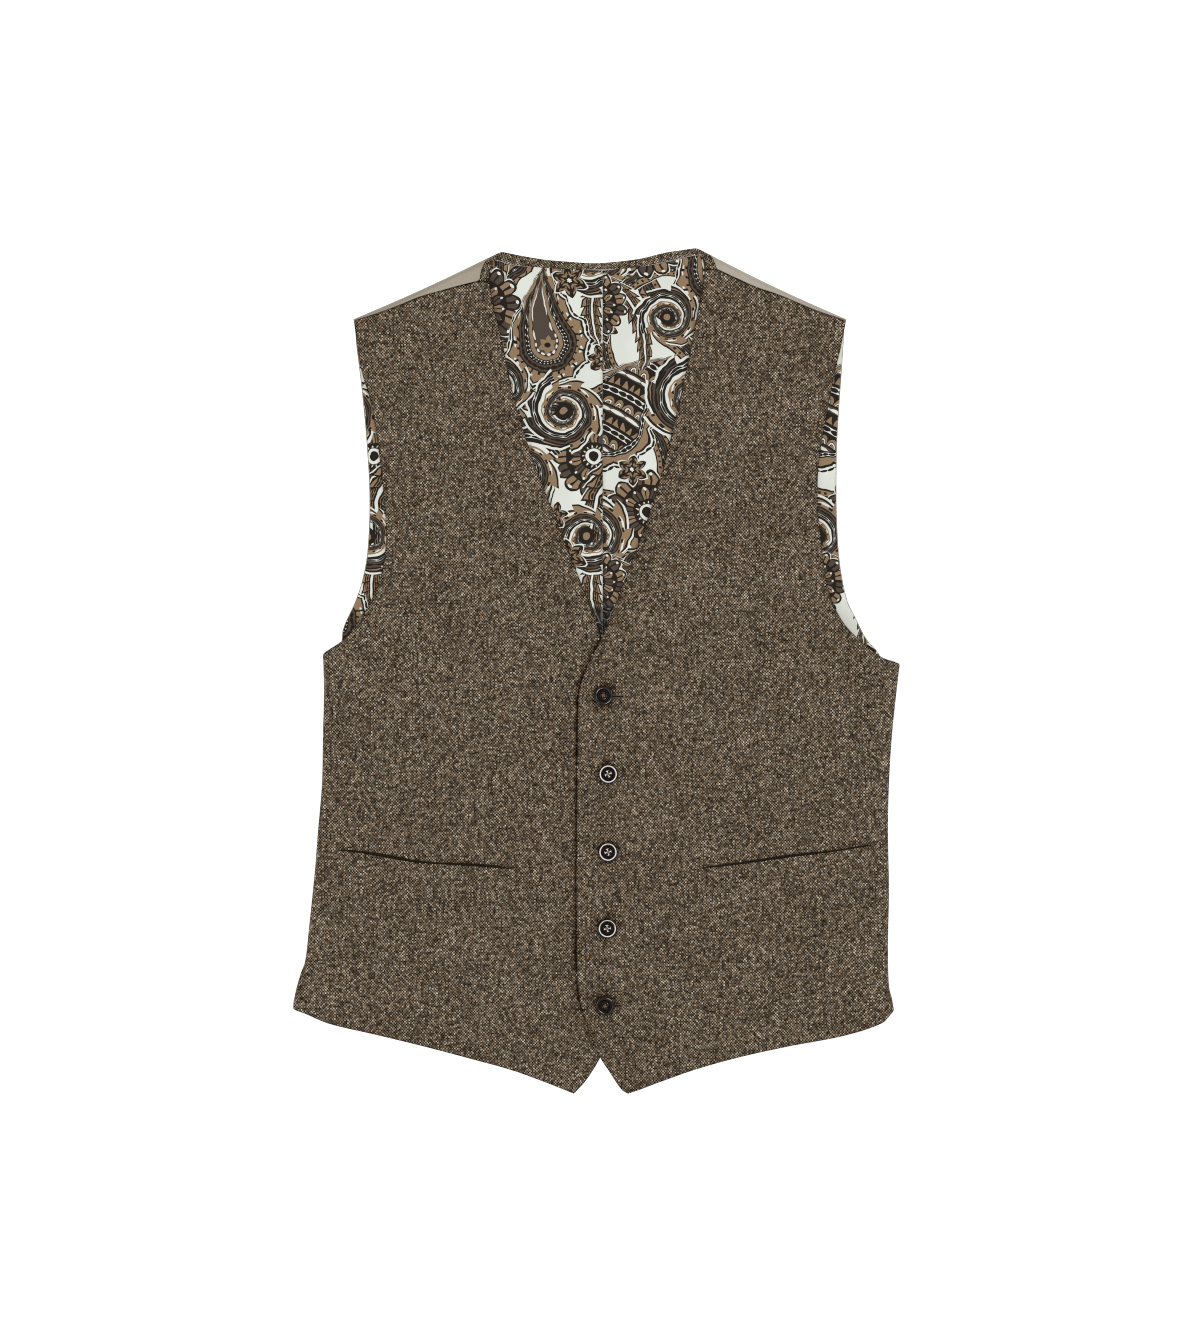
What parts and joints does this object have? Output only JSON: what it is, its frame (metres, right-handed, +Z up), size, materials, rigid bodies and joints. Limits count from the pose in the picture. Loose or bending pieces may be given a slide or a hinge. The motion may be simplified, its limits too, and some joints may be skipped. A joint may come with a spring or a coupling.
{
  "type": "suit waistcoat",
  "caption": "Buttoned V-neck suit waistcoat laid flat, tweed fronts with pointed hem and slanted welt pockets, satin back rolled over the shoulders, patterned lining.",
  "frame": {"origin": "centre of the garment seen from above, on the surface it lies on", "axes": "+Z up from the surface, +Y toward the neck, +X toward the wearer's left side, which is the viewer's right"},
  "size_m": [0.4853, 0.6776, 0.0149],
  "materials": {
    "tweed": "plain-weave wool tweed, dark brown and cream, matt with light and tan flecks",
    "satin": "smooth taupe satin with a soft sheen",
    "lining": "smooth white lining cloth printed with dark brown and tan paisley",
    "horn": "polished dark brown horn with a raised rim"
  },
  "bodies": {
    "root": {"front_right": "tweed", "front_left": "tweed", "welt_right": "tweed", "welt_left": "tweed", "neck_band": "tweed", "back_right": "satin", "back_left": "satin", "lining_right": "lining", "lining_left": "lining", "button_1": "horn", "button_2": "horn", "button_3": "horn", "button_4": "horn", "button_5": "horn"}
  },
  "joints": []
}
